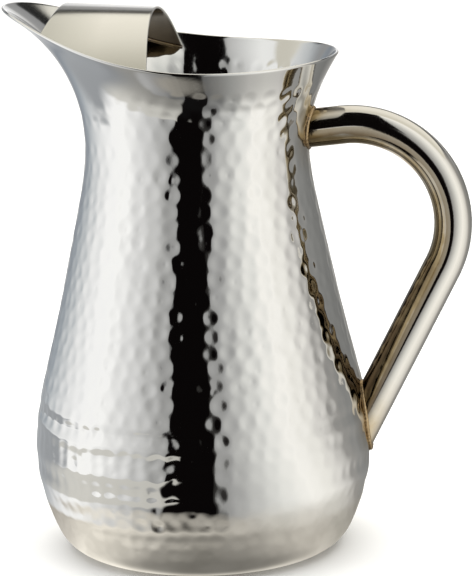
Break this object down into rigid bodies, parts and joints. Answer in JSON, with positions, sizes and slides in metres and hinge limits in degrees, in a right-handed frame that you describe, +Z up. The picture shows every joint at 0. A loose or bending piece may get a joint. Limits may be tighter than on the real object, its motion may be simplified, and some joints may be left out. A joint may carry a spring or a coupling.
{
  "type": "water pitcher",
  "caption": "Round-bellied hammered metal pitcher with a narrow neck, a flared mouth drawn out into a pouring lip, an arched ice guard across the lip and a bent tube handle.",
  "frame": {"origin": "centre of the flat foot, on the surface the pitcher stands on", "axes": "+Z up along the body's axis, -X towards the tip of the spout, +X towards the handle, Y across, with y = 0 the plane of symmetry"},
  "size_m": [0.1929, 0.141, 0.2286],
  "materials": {
    "hammered_steel": "mirror polished over small hammer dimples, smooth band at the rim",
    "base_steel": "turned, satin",
    "guard_steel": "smooth satin polish",
    "handle_steel": "polished tube with faint straw heat tint",
    "weld_steel": "as-welded bead, straw to brown heat tint"
  },
  "bodies": {
    "root": {"body_shell": "hammered_steel", "base_plate": "base_steel", "base_weld": "weld_steel", "ice_guard": "guard_steel", "ice_guard_weld_near": "weld_steel", "ice_guard_weld_far": "weld_steel", "handle_tube": "handle_steel", "handle_weld_upper": "weld_steel", "handle_weld_lower": "weld_steel"}
  },
  "joints": []
}
